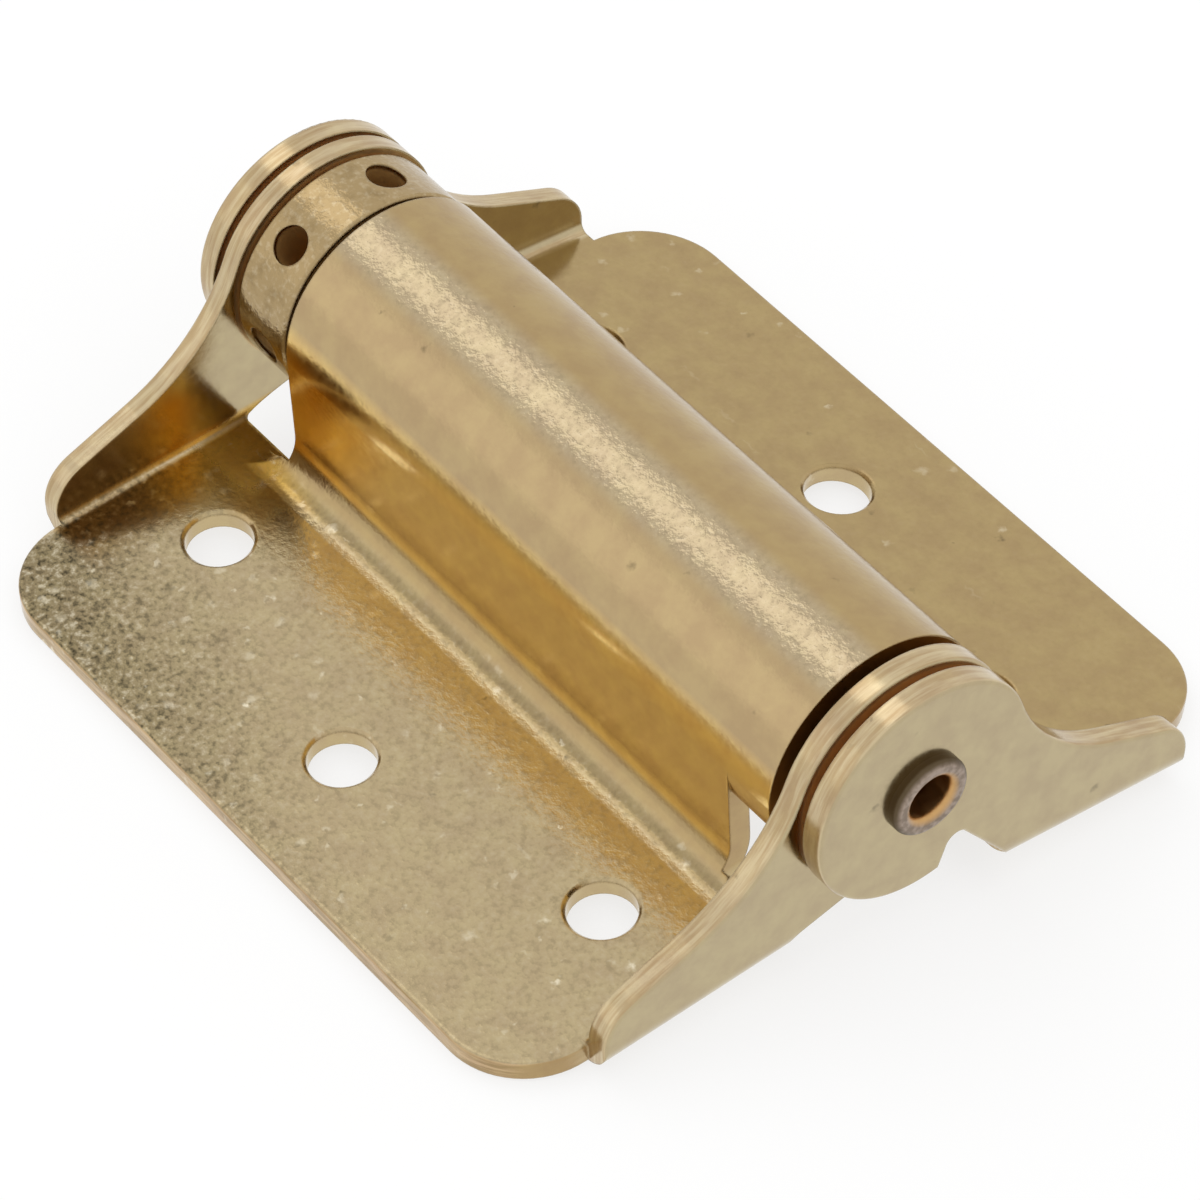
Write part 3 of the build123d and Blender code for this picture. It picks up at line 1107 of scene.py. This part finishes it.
    def build(self) -> list[Object]:
        """Winds the spring, bakes it into a plain mesh and hides the CAD spring that it stands in
        for.
        """
        tree = self.tree(self.finish.build())
        piece = add_object("wound_torsion_spring", bpy.data.meshes.new("spring_seed"))
        winder = piece.modifiers.new("wind", "NODES")
        winder.node_group = tree
        sizes = self.sizes()
        for socket in tree.interface.items_tree:
            if socket.in_out == "INPUT":
                winder[socket.identifier] = sizes[socket.name]
        bpy.context.view_layer.update()
        wound = piece.evaluated_get(bpy.context.evaluated_depsgraph_get())
        mesh = bpy.data.meshes.new_from_object(wound)
        piece.modifiers.remove(winder)
        piece.data = mesh
        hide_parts("torsion_spring")
        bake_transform(piece)
        return [piece]


@dataclass(frozen=True)
class Lamp:
    """A soft rectangular lamp that faces the hinge.

    Attributes:
        name: The lamp's name.
        toward: Direction from the hinge to the lamp.
        distance: How far away it is, in metres.
        size: Its width and height, in metres.
        power: Its power, in watts.
    """

    name: str
    toward: tuple[float, float, float]
    distance: float
    size: tuple[float, float]
    power: float

    def hang(self) -> Object:
        """Hangs the lamp in its place."""
        data = bpy.data.lights.new(self.name, "AREA")
        data.shape = "RECTANGLE"
        data.size, data.size_y = self.size
        data.energy = self.power
        lamp = add_object(self.name, data)
        place = Vector(self.toward).normalized()
        lamp.location = place * self.distance + Vector((0.0, 0.0, SIZES.pin_z * MM))
        lamp.rotation_mode = "QUATERNION"
        lamp.rotation_quaternion = place.to_track_quat("Z", "Y")
        return lamp


@dataclass
class Studio:
    """Floor, sky and lamps.

    Attributes:
        floor_half: Half the floor's width, in metres.
        sky: Strength of the plain white sky.
        lamps: The lamps: one whose strip of light lies along the barrel, and one at the side.
    """

    floor_half: float = 1.5
    sky: float = 1.0
    lamps: tuple[Lamp, ...] = (
        Lamp("strip_lamp", (-0.54, -0.02, 0.84), 0.8, (0.30, 0.5), 0.32),
        Lamp("side_lamp", (-0.54, -0.74, 0.39), 0.9, (0.6, 0.5), 0.15))

    def lay_floor(self) -> Object:
        """Lays the floor on the surface that the hinge stands on."""
        half = self.floor_half
        mesh = bpy.data.meshes.new("studio_floor")
        mesh.from_pydata([(-half, -half, 0), (half, -half, 0), (half, half, 0), (-half, half, 0)],
                         [], [(0, 1, 2, 3)])
        mesh.materials.append(StudioFloor("white_paper").build())
        floor = add_object("studio_floor", mesh)
        return floor

    def light_sky(self) -> None:
        """Makes the plain white sky, which the camera and the metal see too."""
        world = bpy.data.worlds.new("plain_sky")
        bpy.context.scene.world = world
        world.use_nodes = True
        tree = world.node_tree
        plug(tree, tree.nodes["Background"], {"Color": "#FFFFFF", "Strength": self.sky})

    def build(self) -> None:
        """Builds the whole studio."""
        self.lay_floor()
        self.light_sky()
        for lamp in self.lamps:
            lamp.hang()


@dataclass
class PhotoCamera:
    """The camera of the photograph, as fitted to the hinge's edges.

    Attributes:
        place: Where it stands, in millimetres.
        right: Direction of the picture's right.
        up: Direction of the picture's top.
        back: Direction from the hinge towards it.
        frame_width: Width of the frame that the lens is stated for, in millimetres.
        lens: Focal length on that frame, in millimetres.
        shift: Shift of the frame, as a share of its width.
        clip: Nearest and farthest distance that it sees, in metres.
    """

    place: tuple[float, float, float] = (245.247, -199.621, 325.868)
    right: tuple[float, float, float] = (0.616795, 0.786864, 0.020242)
    up: tuple[float, float, float] = (-0.571102, 0.429674, 0.699445)
    back: tuple[float, float, float] = (0.541670, -0.442974, 0.714400)
    frame_width: float = 36.0
    lens: float = 192.537
    shift: tuple[float, float] = (-0.005375, 0.012450)
    clip: tuple[float, float] = (0.01, 10.0)

    def build(self) -> Object:
        """Sets up the camera."""
        data = bpy.data.cameras.new("photo_camera")
        data.sensor_width = self.frame_width
        data.lens = self.lens
        data.shift_x, data.shift_y = self.shift
        data.clip_start, data.clip_end = self.clip
        data.dof.use_dof = False
        camera = add_object("photo_camera", data)
        turn = Matrix((self.right, self.up, self.back)).transposed()
        camera.matrix_world = Matrix.Translation(Vector(self.place) * MM) @ turn.to_4x4()
        bpy.context.scene.camera = camera
        return camera


def main() -> None:
    """Builds everything in order and reports each piece."""
    logging.basicConfig(level=logging.INFO)
    bpy.context.scene.view_settings.view_transform = "Standard"
    PhotoCamera().build()
    Studio().build()
    for part in (Leaves(), PinAndCollar(), CoilSpring()):
        for piece in part.build():
            LOG.info("%s: %d faces", piece.name, len(piece.data.polygons))


if __name__ == "__main__":
    main()
